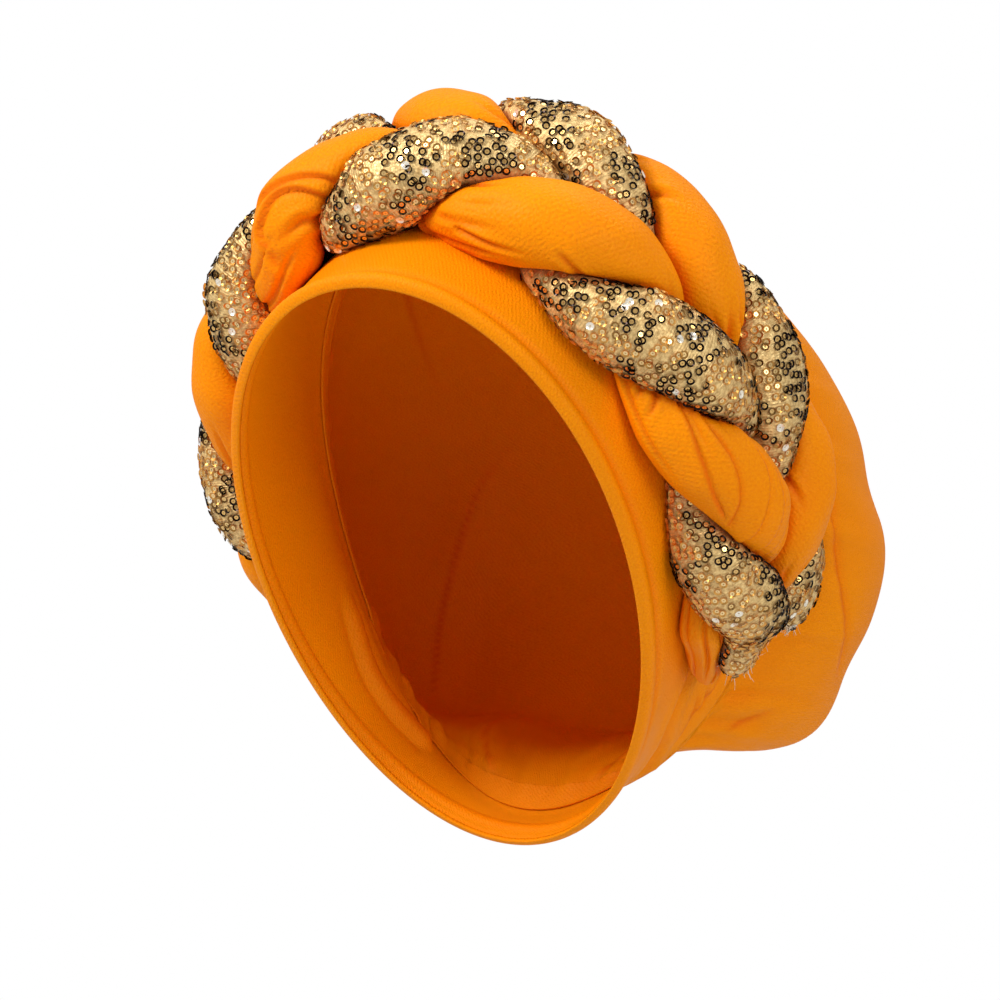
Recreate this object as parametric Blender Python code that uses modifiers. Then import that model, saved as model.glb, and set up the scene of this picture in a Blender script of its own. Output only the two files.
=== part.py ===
"""Twisted turban hat: a stretch cloth cap with a braid of four stuffed strands across it and a baggy crown.

Blender 4.5, metres, +Z up. The wearer faces -Y. The origin is where the top of the head meets the inside of
the cap.
"""
import math

import bpy
import numpy as np
from mathutils import Vector
from mathutils.bvhtree import BVHTree

MM = 0.001

# Driving dimensions, in millimetres, with the one angle in radians
BAND_THICKNESS = 2.0
CROWN_THICKNESS = 1.6
PIECE_GAP = 0.5
SEAM_SET_BACK = 2.5
SEGMENTS_AROUND = 40

BRAID_HALF_ANGLE = 2.4
BRAID_PERIOD = 109.0
BRAID_HEIGHT = 15.0
LEAST_HEIGHT = 8.0
STRAND_SWING = 7.0
STRAND_RISE = 7.5
STRAND_RADIUS = 17.5
STRAND_GAP = 1.0
WALL_GAP = 1.0
LIMIT_SOFTNESS = 0.75
LEAST_REACH = 2.0
FARTHEST = 60.0
LEAST_SLANT = 0.25
LEAST_TOWARD = 0.5
END_FACE_LENGTH = 1.0
END_NARROWING_LENGTH = 75.0
END_PRESSING_LENGTH = 34.0
STRAND_SIDES = 12
STRAND_STEP = 7.2
SEWN_DOWN_LENGTH = 45.0
SEWN_DOWN_SHARE = 0.6
SMOOTHING_ROUNDS = 4

# Rings of cloth round the head. Columns: name, top y, top z, bottom y, bottom z, half width, bow (middle of
# the sides moved back), sweep (upper sides moved forward and lower sides back), droop (widest place moved
# down), lean (top moved towards the wearer's left)
BAND_RINGS = (
    ("hem_edge", -53.0, -35.0, 68.0, -274.0, 81.0, 0.0, 0.0, -8.0, 0.0),
    ("hem_roll", -52.0, -31.0, 71.0, -275.0, 84.0, 0.0, 0.0, -8.0, 0.0),
    ("hem_roll_end", -48.0, -29.5, 73.0, -273.0, 84.5, 1.0, 2.0, -6.0, 0.5),
    ("band_front", -39.0, -26.0, 76.0, -272.0, 87.0, 4.0, 4.0, -4.0, 2.0),
    ("band_pleat", -24.0, -20.0, 80.0, -271.0, 90.0, 12.0, 10.0, -4.0, 4.0),
    ("braid_seat", 5.0, -9.5, 84.5, -269.5, 91.5, 20.0, 16.0, -7.0, 5.0),
    ("braid_rear", 22.0, -2.0, 87.0, -267.5, 93.5, 25.0, 20.0, -1.0, 5.0),
    ("seam", 42.0, 2.0, 89.0, -265.0, 96.0, 28.0, 22.0, 9.0, 5.0),
)
CROWN_RINGS = (
    BAND_RINGS[-1],
    ("neck", 50.0, 4.0, 97.0, -256.0, 103.0, 28.0, 20.0, 13.0, 5.0),
    ("shoulder", 66.0, 0.0, 112.0, -249.0, 118.0, 24.0, 14.0, 17.0, 4.0),
    ("fullest", 96.0, -10.0, 136.0, -249.0, 128.0, 18.0, 8.0, 18.0, 2.0),
    ("back_bulge", 132.0, -30.0, 164.0, -249.0, 127.0, 12.0, 4.0, 14.0, 0.0),
    ("back_turn", 166.0, -58.0, 190.0, -228.0, 112.0, 8.0, 0.0, 10.0, 0.0),
    ("back_flat", 190.0, -90.0, 204.0, -198.0, 82.0, 6.0, 0.0, 6.0, 0.0),
    ("back_cap", 202.0, -116.0, 210.0, -170.0, 44.0, 4.0, 0.0, 2.0, 0.0),
)
CROWN_BACK = (0.0, 210.0, -143.0)
CROWN_STEPS = 2

# Folds of the crown, on both sides. Columns: name, angle from the top, drift of the angle towards the back,
# half width in degrees, height in millimetres (below 0 for a dent), where it starts and ends
CROWN_FOLDS = (
    ("top_gather", 22.0, 10.0, 9.0, 3.5, 0.07, 0.7),
    ("upper_gather", 50.0, 6.0, 8.0, 3.0, 0.07, 0.6),
    ("side_crease", 84.0, -6.0, 10.0, -5.0, 0.25, 0.85),
    ("low_gather", 112.0, 4.0, 8.0, 3.0, 0.07, 0.6),
    ("corner", 143.0, 0.0, 16.0, 17.0, 0.15, 1.0),
    ("underside_dent", 164.0, 0.0, 12.0, -5.0, 0.2, 0.8),
)
BAND_FOLDS = (
    ("side_pleat", 128.0, -16.0, 26.0, -4.0, 0.35, 0.85),
)

# Braid strands. Columns: name, middle of its swing (below 0 in front of the braid's axis), mean height,
# where its turns start, quarter turns of phase, half length, how far its ends turn forward, then for its
# ends: length of the rounding, share of the radius left, share that stands above the middle, and colour
STRANDS = (
    ("orange_strand_front", -11.5, 15.0, 11.0, -1.0, 282.0, -13.0, 30.0, 0.42, 0.2, "orange"),
    ("orange_strand_rear", 16.0, 16.5, 21.0, 2.0, 246.0, 0.0, 14.0, 0.8, 0.6, "orange"),
    ("gold_strand_front", -11.5, 15.0, 11.0, 1.0, 257.0, -6.0, 7.0, 0.88, 0.4, "gold"),
    ("gold_strand_rear", 16.0, 16.5, 21.0, 0.0, 252.0, 0.0, 7.0, 0.9, 0.4, "gold"),
)

# How the braid departs from an even twist. Columns: length from the top towards the wearer's left, then for
# the front and the rear strands: how far their turns are moved on, how far they are moved forward, and the
# height added
BRAID_DRIFT = (
    (-290.0, 35.0, -20.0, 0.0, 0.0, -2.0, -2.0),
    (-235.0, -20.0, -20.0, 0.0, 0.0, -3.0, -4.0),
    (-140.0, -20.0, -24.0, 0.0, 0.0, -3.0, -6.0),
    (-75.0, -6.0, -20.0, 0.0, 0.0, -4.0, -7.0),
    (-50.0, 0.0, -18.0, 0.0, 0.0, -1.5, -5.0),
    (15.0, 0.0, 2.0, 0.0, 0.0, 0.0, 0.0),
    (60.0, 0.0, 7.0, 9.0, 0.0, 0.0, 3.0),
    (120.0, 0.0, 11.0, 12.0, 2.0, 0.0, 1.0),
    (235.0, 0.0, 12.0, 12.0, 4.0, 0.0, 0.0),
    (290.0, -55.0, 12.0, 12.0, 4.0, 0.0, 0.0),
)


def unit(vectors):
    return vectors / np.linalg.norm(vectors, axis=-1, keepdims=True)


def ring_points(row, angles):
    """Points of one ring, at angles from its top towards the wearer's left, in millimetres."""
    _, top_y, top_z, bottom_y, bottom_z, half_width, bow, sweep, droop, lean = row
    middle = np.array([0.0, (top_y + bottom_y) / 2, (top_z + bottom_z) / 2])
    up = np.array([0.0, top_y, top_z]) - middle
    down = -up / np.linalg.norm(up)
    back = np.array([0.0, -down[2], down[1]])
    cos, sin = np.cos(angles)[:, None], np.sin(angles)[:, None]
    side = (half_width * sin + lean * (1 + cos) / 2) * np.array([1.0, 0.0, 0.0])
    return middle + cos * up + side + sin**2 * ((bow - sweep * cos) * back + droop * down)


def loft_rows(rings, steps):
    """The table's rows with evenly blended rows between them."""
    numbers = np.array([row[1:] for row in rings])
    slopes = np.gradient(numbers, axis=0)
    rows = []
    for place in np.linspace(0, len(rings) - 1, (len(rings) - 1) * steps + 1):
        start = min(int(place), len(rings) - 2)
        part = place - start
        ends = numbers[start : start + 2]
        tilt = slopes[start : start + 2]
        ease = part * part * (3 - 2 * part)
        values = ends[0] + (ends[1] - ends[0]) * ease
        values = values + part * (1 - part) * ((1 - part) * tilt[0] - part * tilt[1])
        rows.append(("blend", *values))
    return rows


def fold_depth(folds, place, angles):
    """How far a table's folds lift the cloth, in millimetres, at a place from 0 (first ring) to 1 (last)."""
    depth = np.zeros(len(angles))
    for _, angle, drift, half_width, height, start, end in folds:
        middle = math.radians(angle + drift * place)
        off = np.abs(np.angle(np.exp(1j * (np.abs(angles) - middle)))) / math.radians(half_width)
        reach = np.clip((place - start) / (end - start), 0, 1)
        depth += height * np.exp(-(off**2)) * np.sin(math.pi * reach)
    return depth


def cloth_surface(rings, folds, steps):
    """Every ring of a lofted cloth surface, each an array of points."""
    angles = np.linspace(-math.pi, math.pi, SEGMENTS_AROUND, endpoint=False)
    rows = loft_rows(rings, steps)
    surface = []
    for number, row in enumerate(rows):
        points = ring_points(row, angles)
        outward = unit(points - points.mean(axis=0))
        depth = fold_depth(folds, number / (len(rows) - 1), angles)
        surface.append(points + depth[:, None] * outward)
    return surface


def mesh_object(name, points, faces, material, collection):
    mesh = bpy.data.meshes.new(name)
    mesh.from_pydata([Vector(point) * MM for point in points], [], faces)
    mesh.materials.append(material)
    mesh.shade_smooth()
    made = bpy.data.objects.new(name, mesh)
    collection.objects.link(made)
    return made


def tube_faces(ring_count, sides):
    """Four-sided faces between rings of the same number of points."""
    return [
        (a * sides + b, a * sides + (b + 1) % sides, (a + 1) * sides + (b + 1) % sides, (a + 1) * sides + b)
        for a in range(ring_count - 1)
        for b in range(sides)
    ]


def set_back(ring, ring_before, ring_after):
    """The first ring of a cloth sewn on behind another, moved back until the two walls clear each other."""
    around = np.roll(ring, -1, axis=0) - np.roll(ring, 1, axis=0)
    ahead = unit(ring - ring_before)
    outward = unit(np.cross(around, ahead))
    outward *= np.sign((outward * (ring - ring.mean(axis=0))).sum())
    turn_in = np.maximum(-(unit(ring_after - ring) * outward).sum(axis=1), 0)
    return ring + ahead * (PIECE_GAP + SEAM_SET_BACK * CROWN_THICKNESS * turn_in)[:, None]


def cloth_shell(name, surface, thickness, material, collection, back=None):
    """A wall of cloth inside the surface, closed at the back by a fan of faces if it has a back point."""
    points = [point for ring in surface for point in ring]
    faces = tube_faces(len(surface), SEGMENTS_AROUND)
    if back:
        last = (len(surface) - 1) * SEGMENTS_AROUND
        faces += [(last + b, last + (b + 1) % SEGMENTS_AROUND, len(points)) for b in range(SEGMENTS_AROUND)]
        points.append(np.array(back))
    shell = mesh_object(name, points, faces, material, collection)
    solidify = shell.modifiers.new("cloth thickness", "SOLIDIFY")
    solidify.thickness = thickness * MM
    solidify.offset = -1.0
    return shell


def braid_axis(arcs):
    """Seat points on the cap, and the rearward and outward directions there, at arc lengths from the top."""
    half = 240
    angles = np.linspace(-BRAID_HALF_ANGLE, BRAID_HALF_ANGLE, 2 * half + 1)
    rows = {row[0]: row for row in BAND_RINGS}
    seat = ring_points(rows["braid_seat"], angles)
    ahead = ring_points(rows["band_pleat"], angles)
    behind = ring_points(rows["seam"], angles)
    tangent = np.gradient(seat, axis=0)
    rearward = behind - ahead
    outward = unit(np.cross(tangent, rearward))
    outward *= np.sign(outward[half, 2])
    lifted = seat + outward * BRAID_HEIGHT
    length = np.concatenate([[0], np.cumsum(np.linalg.norm(np.diff(lifted, axis=0), axis=1))])
    length -= length[half]
    rearward = unit(np.cross(outward, tangent))
    rearward *= np.sign(rearward[half, 1])
    return [
        np.stack([np.interp(arcs, length, column) for column in vectors.T], axis=1)
        for vectors in (seat, rearward, outward)
    ]


def strand_line(offset, mean_height, start, quarters, half_length, ends_forward, end_share, ground, step):
    """Centre line of a strand, kept above the cloth beneath, with the outward direction and its radius."""
    arcs = np.linspace(-half_length, half_length, round(2 * half_length / step))
    seat, rearward, outward = braid_axis(arcs)
    at, *columns = zip(*BRAID_DRIFT)
    own_columns = columns[0::2] if offset < 0 else columns[1::2]
    moved_on, forward, lift = (np.interp(arcs, at, column) for column in own_columns)
    turn = 2 * math.pi * (arcs + moved_on - start) / BRAID_PERIOD + quarters * math.pi / 2
    from_end = half_length - np.abs(arcs)
    to_end = np.clip(from_end / SEWN_DOWN_LENGTH, 0, 1)
    loose = SEWN_DOWN_SHARE + (1 - SEWN_DOWN_SHARE) * np.sqrt(to_end)
    across = (offset - forward + math.copysign(STRAND_SWING, offset) * np.cos(turn)) * loose
    across -= ends_forward * (1 - to_end)
    height = (mean_height + lift + STRAND_RISE * np.sin(turn)) * loose
    line = seat + across[:, None] * rearward + height[:, None] * outward
    for number, centre in enumerate(line):
        spot, normal, _, _ = ground.find_nearest(Vector(centre))
        above = (Vector(centre) - spot).dot(normal)
        least = LEAST_HEIGHT * loose[number]
        if above < least:
            line[number] = centre + (least - above) * np.array(normal)
    wide = np.clip(from_end / END_NARROWING_LENGTH, 0, 1)
    return line, outward, STRAND_RADIUS * (end_share + (1 - end_share) * wide)


def soft_least(limits):
    """A smooth minimum along the last axis, never above the true one."""
    least = limits.min(axis=-1)
    over = np.exp((least[..., None] - limits) / LIMIT_SOFTNESS).sum(axis=-1)
    return least - LIMIT_SOFTNESS * np.log(over)


def strand_rings(line, outward, radii, end_length, lid_share, others, ground):
    """Rings of a stuffed strand, flattened where it meets the other strands and the cloth beneath."""
    along = unit(np.gradient(line, axis=0))
    steps = np.linalg.norm(np.diff(line, axis=0), axis=1)
    run = np.concatenate([[0], np.cumsum(steps)])
    from_end = np.minimum(run, run[-1] - run) + END_FACE_LENGTH
    roundness = np.sqrt(1 - (1 - np.clip(from_end / end_length, 0, 1)) ** 2)
    pressed = np.clip(from_end / END_PRESSING_LENGTH, 0, 1)
    lids = STRAND_RADIUS * (lid_share + (1 - lid_share) * pressed)
    neighbours, their_radii = (np.concatenate(parts) for parts in zip(*others))
    angles = np.linspace(0, 2 * math.pi, STRAND_SIDES, endpoint=False)
    reaches, all_spokes = [], []
    for centre, ahead, up, radius, lid, end in zip(line, along, outward, radii, lids, roundness):
        first = unit(np.cross(ahead, up))
        second = np.cross(ahead, first)
        spokes = np.cos(angles)[:, None] * first + np.sin(angles)[:, None] * second
        away = neighbours - centre
        square = (away**2).sum(axis=1)
        gap = STRAND_GAP + their_radii - radius
        toward = spokes @ away.T + gap
        half_way = (square - gap**2) / (2 * np.maximum(toward, LEAST_TOWARD))
        room = np.where(toward > LEAST_TOWARD, half_way, FARTHEST).min(axis=1, keepdims=True)
        wall = np.array([wall_distance(ground, centre, spoke) for spoke in spokes])
        under_lid = lid / np.maximum(spokes @ up, LEAST_SLANT)
        limits = np.stack([room[:, 0], wall, under_lid, np.full(len(spokes), radius)], axis=1)
        reaches.append(np.maximum(soft_least(limits), LEAST_REACH) * end)
        all_spokes.append(spokes)
    reaches = np.array(reaches)
    for _ in range(SMOOTHING_ROUNDS):
        along_mean = (np.roll(reaches, 1, 0) + np.roll(reaches, -1, 0)) / 2
        along_mean[[0, -1]] = reaches[[0, -1]]
        reaches = np.minimum(reaches, (reaches + along_mean) / 2)
    return [centre + reach[:, None] * spokes for centre, reach, spokes in zip(line, reaches, all_spokes)]


def wall_distance(ground, centre, spoke):
    """How far a spoke runs before it comes within a gap of the cloth beneath."""
    hit = ground.ray_cast(Vector(centre), Vector(spoke), FARTHEST)
    if hit[0] is None:
        return FARTHEST
    slant = max(abs(hit[1].dot(Vector(spoke))), LEAST_SLANT)
    return hit[3] - WALL_GAP / slant


def ground_tree(objects):
    """A search tree of the cloth shells as built, in millimetres."""
    graph = bpy.context.evaluated_depsgraph_get()
    points, faces = [], []
    for shell in objects:
        mesh = shell.evaluated_get(graph).to_mesh()
        faces += [tuple(len(points) + corner for corner in face.vertices) for face in mesh.polygons]
        points += [vertex.co / MM for vertex in mesh.vertices]
    return BVHTree.FromPolygons(points, faces)


def strand_object(name, rings, material, collection):
    points = [point for ring in rings for point in ring]
    faces = tube_faces(len(rings), STRAND_SIDES)
    last = (len(rings) - 1) * STRAND_SIDES
    faces.append(tuple(reversed(range(STRAND_SIDES))))
    faces.append(tuple(range(last, last + STRAND_SIDES)))
    return mesh_object(name, points, faces, material, collection)


def cloth_material(name, colour, roughness, metallic):
    made = bpy.data.materials.new(name)
    made.use_nodes = True
    shader = made.node_tree.nodes["Principled BSDF"]
    shader.inputs["Base Color"].default_value = (*colour, 1.0)
    shader.inputs["Roughness"].default_value = roughness
    shader.inputs["Metallic"].default_value = metallic
    return made


def clear_scene():
    for old in list(bpy.data.objects):
        bpy.data.objects.remove(old, do_unlink=True)


def build_hat():
    clear_scene()
    hat = bpy.data.collections.new("twisted turban hat")
    bpy.context.scene.collection.children.link(hat)
    cloths = {
        "orange": cloth_material("orange satin", (0.9, 0.27, 0.0), 0.5, 0.0),
        "gold": cloth_material("gold sequin cloth", (0.75, 0.52, 0.2), 0.35, 0.6),
    }

    band_surface = cloth_surface(BAND_RINGS, BAND_FOLDS, 1)
    band = cloth_shell("front_band", band_surface, BAND_THICKNESS, cloths["orange"], hat)

    crown_surface = cloth_surface(CROWN_RINGS, CROWN_FOLDS, CROWN_STEPS)
    crown_surface[0] = set_back(band_surface[-1], band_surface[-2], crown_surface[1])
    crown = cloth_shell("crown_pouch", crown_surface, CROWN_THICKNESS, cloths["orange"], hat, CROWN_BACK)

    ground = ground_tree([band, crown])
    near = {}
    for name, *row, _, end_share, _, _ in STRANDS:
        line, _, radii = strand_line(*row, end_share, ground, STRAND_STEP / 4)
        near[name] = (line, radii)
    for name, *row, end_length, end_share, lid_share, colour in STRANDS:
        others = [near[other] for other in near if other != name]
        line, outward, radii = strand_line(*row, end_share, ground, STRAND_STEP)
        rings = strand_rings(line, outward, radii, end_length, lid_share, others, ground)
        strand_object(name, rings, cloths[colour], hat)


build_hat()
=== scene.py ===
# %% [markdown]
# # A twisted turban hat
# The hat is one soft thing made of six: a close stretch band, a baggy crown behind it, and a braid of four
# stuffed strands over the join, two of plain satin and two of sequined gold cloth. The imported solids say
# where each piece is. Each cloth piece is then built again here over its solid, with the folds, sequins and
# weave that the solid leaves out.

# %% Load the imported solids
import math

import bpy
import numpy as np
from mathutils import Matrix, Vector, noise
from mathutils.bvhtree import BVHTree


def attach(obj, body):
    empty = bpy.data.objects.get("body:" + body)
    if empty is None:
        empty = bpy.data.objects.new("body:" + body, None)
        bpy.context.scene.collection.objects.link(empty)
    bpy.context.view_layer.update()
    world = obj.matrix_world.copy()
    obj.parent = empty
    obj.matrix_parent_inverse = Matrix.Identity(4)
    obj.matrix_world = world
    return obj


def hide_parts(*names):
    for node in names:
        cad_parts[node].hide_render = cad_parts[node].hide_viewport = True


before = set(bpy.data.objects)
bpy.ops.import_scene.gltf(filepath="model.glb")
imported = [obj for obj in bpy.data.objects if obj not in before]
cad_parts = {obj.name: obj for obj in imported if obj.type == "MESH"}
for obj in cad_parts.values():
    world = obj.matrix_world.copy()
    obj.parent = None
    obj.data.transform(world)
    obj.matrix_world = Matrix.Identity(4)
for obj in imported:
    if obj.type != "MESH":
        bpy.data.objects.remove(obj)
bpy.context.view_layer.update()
bpy.ops.object.select_all(action="DESELECT")
MM = 0.001
print("solids:", ", ".join(sorted(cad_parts)))

# %% [markdown]
# ## The camera first
# The hat was photographed from a quarter view, a little above, with a long lens that keeps the braid from
# looking swollen. The camera is placed by the three directions of its own frame: to the right, up, and back
# to the lens.

# %% Camera
CAMERA_RIGHT = Vector((0.9063, 0.4226, 0.0))
CAMERA_BACK = Vector((0.4162, -0.8925, 0.1736))
CAMERA_UP = CAMERA_BACK.cross(CAMERA_RIGHT)
CAMERA_TARGET = CAMERA_RIGHT * 0.02541 + CAMERA_UP * 0.0231 - Vector((0.0, 0.0, 0.146))
CAMERA_DISTANCE = 1.5

bpy.ops.object.camera_add(location=CAMERA_TARGET + CAMERA_BACK * CAMERA_DISTANCE)
camera = bpy.context.object
camera.rotation_euler = Matrix((CAMERA_RIGHT, CAMERA_UP, CAMERA_BACK)).transposed().to_euler()
camera.data.sensor_width = 36.0
camera.data.lens = 140.3
bpy.context.scene.camera = camera
print("camera at", [round(x, 3) for x in camera.location])

# %% [markdown]
# ## Cloth as rings
# Both cloth shells are lofted through rings that stand one behind the other. A ring is an ellipse between a
# top and a bottom point in the middle plane, and four more numbers bend it. The bow moves the middle of its
# sides back. The sweep moves its upper sides forward and its lower sides back. The droop moves its widest
# place down, and the lean moves its top towards the wearer's left. The tables are the part's own, so the
# dressed cloth lies where the solid is.

# %% Rings of the band and the crown
# Columns, in millimetres: name, top y, top z, bottom y, bottom z, half width, bow, sweep, droop, lean
BAND_RINGS = (
    ("hem_edge", -53.0, -35.0, 68.0, -274.0, 81.0, 0.0, 0.0, -8.0, 0.0),
    ("hem_roll", -52.0, -31.0, 71.0, -275.0, 84.0, 0.0, 0.0, -8.0, 0.0),
    ("hem_roll_end", -48.0, -29.5, 73.0, -273.0, 84.5, 1.0, 2.0, -6.0, 0.5),
    ("band_front", -39.0, -26.0, 76.0, -272.0, 87.0, 4.0, 4.0, -4.0, 2.0),
    ("band_pleat", -24.0, -20.0, 80.0, -271.0, 90.0, 12.0, 10.0, -4.0, 4.0),
    ("braid_seat", 5.0, -9.5, 84.5, -269.5, 91.5, 20.0, 16.0, -7.0, 5.0),
    ("braid_rear", 22.0, -2.0, 87.0, -267.5, 93.5, 25.0, 20.0, -1.0, 5.0),
    ("seam", 42.0, 2.0, 89.0, -265.0, 96.0, 28.0, 22.0, 9.0, 5.0),
)
CROWN_RINGS = (
    BAND_RINGS[-1],
    ("neck", 50.0, 4.0, 97.0, -256.0, 103.0, 28.0, 20.0, 13.0, 5.0),
    ("shoulder", 66.0, 0.0, 112.0, -249.0, 118.0, 24.0, 14.0, 17.0, 4.0),
    ("fullest", 96.0, -10.0, 136.0, -249.0, 128.0, 18.0, 8.0, 18.0, 2.0),
    ("back_bulge", 132.0, -30.0, 164.0, -249.0, 127.0, 12.0, 4.0, 14.0, 0.0),
    ("back_turn", 166.0, -58.0, 190.0, -228.0, 112.0, 8.0, 0.0, 10.0, 0.0),
    ("back_flat", 190.0, -90.0, 204.0, -198.0, 82.0, 6.0, 0.0, 6.0, 0.0),
    ("back_cap", 202.0, -116.0, 210.0, -170.0, 44.0, 4.0, 0.0, 2.0, 0.0),
)
CROWN_BACK = np.array([0.0, 210.0, -143.0])
print("ring tables:", len(BAND_RINGS), "for the band,", len(CROWN_RINGS), "for the crown")


# %% Points of a ring
def unit(vectors):
    return vectors / np.linalg.norm(vectors, axis=-1, keepdims=True)


def eased(numbers, places):
    """Numbers at places between their rows, on a smooth curve from row to row."""
    slopes = np.gradient(numbers, axis=0)
    start = np.minimum(places.astype(int), len(numbers) - 2)
    part = (places - start)[:, None]
    values = numbers[start] + (numbers[start + 1] - numbers[start]) * part * part * (3 - 2 * part)
    return values + part * (1 - part) * ((1 - part) * slopes[start] - part * slopes[start + 1])


def blend_rows(table, places):
    """A table's numbers at places along it."""
    return eased(np.array([row[1:] for row in table]), places)


def ring_points(rows, angles):
    """Points of rings, at angles from the top towards the wearer's left."""
    top_y, top_z, bottom_y, bottom_z, half_width, bow, sweep, droop, lean = rows.T[:, :, None]
    cos, sin = np.cos(angles)[None, :], np.sin(angles)[None, :]
    up_y, up_z = (top_y - bottom_y) / 2, (top_z - bottom_z) / 2
    length = np.hypot(up_y, up_z)
    push = sin**2 * (bow - sweep * cos) / length
    drop = sin**2 * droop / length
    x = half_width * sin + lean * (1 + cos) / 2
    y = (top_y + bottom_y) / 2 + cos * up_y + push * up_z - drop * up_y
    z = (top_z + bottom_z) / 2 + cos * up_z - push * up_y - drop * up_z
    return np.stack(np.broadcast_arrays(x, y, z), axis=-1)


hem = ring_points(blend_rows(BAND_RINGS, np.array([0.0])), np.radians([0, 90, 180, 270]))[0]
print(f"the hem is {hem[1, 0] - hem[3, 0]:.0f} mm wide and {hem[0, 2] - hem[2, 2]:.0f} mm high")

# %% [markdown]
# ## From rows of points to a mesh
# Every soft piece here is a tube of quads: rows of points that wrap round. One helper turns such a grid into
# a mesh object, with a UV map measured in metres of cloth, so that a weave keeps its real size wherever it
# runs. A number of painted shade is kept on each point as well, from 0 on open cloth to 1 deep in a crease or
# where parts press together, for the cloth's colour to be darkened by.

# %% Directions and lengths on a grid
def grid_normals(points):
    """Outward normals of a grid that wraps round its sides."""
    around = np.roll(points, -1, axis=1) - np.roll(points, 1, axis=1)
    return unit(np.cross(around, np.gradient(points, axis=0)))


def closed(points):
    """The same points, with the first one again at the end."""
    return np.concatenate([points, points[:1]])


def lengths_to(points):
    """How far along a line each of its points is. For a grid, how far each row is, on average."""
    steps = np.linalg.norm(np.diff(points, axis=0), axis=-1)
    return np.concatenate([[0], np.cumsum(steps if steps.ndim == 1 else steps.mean(axis=1))])


def cloth_lengths(points):
    """For each row and side of a grid, the cloth's length along and around to there, in millimetres."""
    along = lengths_to(points)
    around = np.linalg.norm(points - np.roll(points, -1, axis=1), axis=2).mean()
    return np.stack(np.meshgrid(along, around * np.arange(points.shape[1] + 1), indexing="ij"), axis=-1)


def round_lengths(from_middle, sides):
    """The same for a cloth that was cut as a round, from how far each row is from its middle."""
    angles = np.linspace(-math.pi, math.pi, sides + 1)
    return from_middle[:, None, None] * np.stack([np.cos(angles), np.sin(angles)], axis=-1)[None]


def cloth_area(points):
    """Area of a grid of points in millimetres, in square metres."""
    a = np.roll(points, -1, axis=1)[:-1] - points[:-1]
    b = points[1:] - points[:-1]
    return float(np.linalg.norm(np.cross(a, b), axis=2).sum() * MM * MM)


print("a grid of cloth can now be measured")


# %% Grids as objects
def new_piece(name, points, faces):
    """An object at the origin, with its mesh from points in millimetres."""
    mesh = bpy.data.meshes.new(name)
    mesh.from_pydata((points.reshape(-1, 3) * MM).tolist(), [], faces)
    piece = bpy.data.objects.new(name, mesh)
    bpy.context.scene.collection.objects.link(piece)
    return piece


def keep_values(piece, title, domain, values):
    """Keeps a number on each point or face of a piece, for its finish to read."""
    layer = piece.data.attributes.new(title, "FLOAT", domain)
    layer.data.foreach_set("value", values.astype(np.float32).ravel())


def grid_piece(name, points, lengths, painted_shade, capped):
    """A mesh object from a grid of points in millimetres, capped at its ends or joined end to end."""
    rows, sides = points.shape[:2]
    corner = np.arange(rows * sides).reshape(rows, sides)
    last = rows - 1 if capped else rows
    here, nxt = np.arange(last), (np.arange(last) + 1) % rows
    beside = np.roll(corner, -1, axis=1)
    faces = np.stack([corner[here], beside[here], beside[nxt], corner[nxt]], axis=-1).reshape(-1, 4)
    side = np.arange(sides)[None, :].repeat(last, axis=0)
    row, row_next = here[:, None].repeat(sides, axis=1), nxt[:, None].repeat(sides, axis=1)
    corners = [(row, side), (row, side + 1), (row_next, side + 1), (row_next, side)]
    uvs = np.stack([lengths[a, b] for a, b in corners], axis=2).reshape(-1, 2)
    face_list = faces.tolist()
    if capped:
        face_list += [corner[0, ::-1].tolist(), corner[-1].tolist()]
        uvs = np.concatenate([uvs, lengths[0, :sides][::-1], lengths[-1, :sides]])
    piece = new_piece(name, points, face_list)
    uv_map = piece.data.uv_layers.new(name="cloth")
    uv_map.data.foreach_set("uv", (uvs * MM).astype(np.float32).ravel())
    # painted shade: a darker cloth colour in creases and where parts press together
    keep_values(piece, "painted_shade", "POINT", painted_shade)
    piece.data.shade_smooth()
    print(f"{name}: {len(piece.data.polygons)} faces")
    return piece


print("and a grid can be made a mesh")

# %% [markdown]
# ## Folds
# Real cloth shows its folds as lines: a crease sinks between two soft shoulders, and a lap is the edge of a
# layer that lies on the next. Each fold here is a line drawn on the cloth by a few points. Cloth near the
# line is moved in or out along its own normal, by how far it is from the line.

# %% Lines drawn on cloth
POINTS_A_STEP = 12


def smooth_step(x):
    x = np.clip(x, 0, 1)
    return x * x * (3 - 2 * x)


def read_grid(field, places):
    """A field's values at (row, side) places, which may lie between its grid points."""
    rows, sides = field.shape[:2]
    row, side = places.T
    low, left = np.minimum(np.floor(row).astype(int), rows - 2), np.floor(side).astype(int)
    shape = (-1, *[1] * (field.ndim - 2))
    row_part, side_part = (row - low).reshape(shape), (side - left).reshape(shape)
    near, far = (
        field[line, left % sides] * (1 - side_part) + field[line, (left + 1) % sides] * side_part
        for line in (low, low + 1)
    )
    return near * (1 - row_part) + far * row_part


def line_on_grid(points, places):
    """Points in space of a line given by (row, side) places on a grid, made smooth and close together."""
    fine = np.linspace(0, len(places) - 1, POINTS_A_STEP * (len(places) - 1) + 1)
    at = eased(np.array(places, float), fine)
    at[:, 0] = np.clip(at[:, 0], 0, len(points) - 1)
    return read_grid(points, at)


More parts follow.
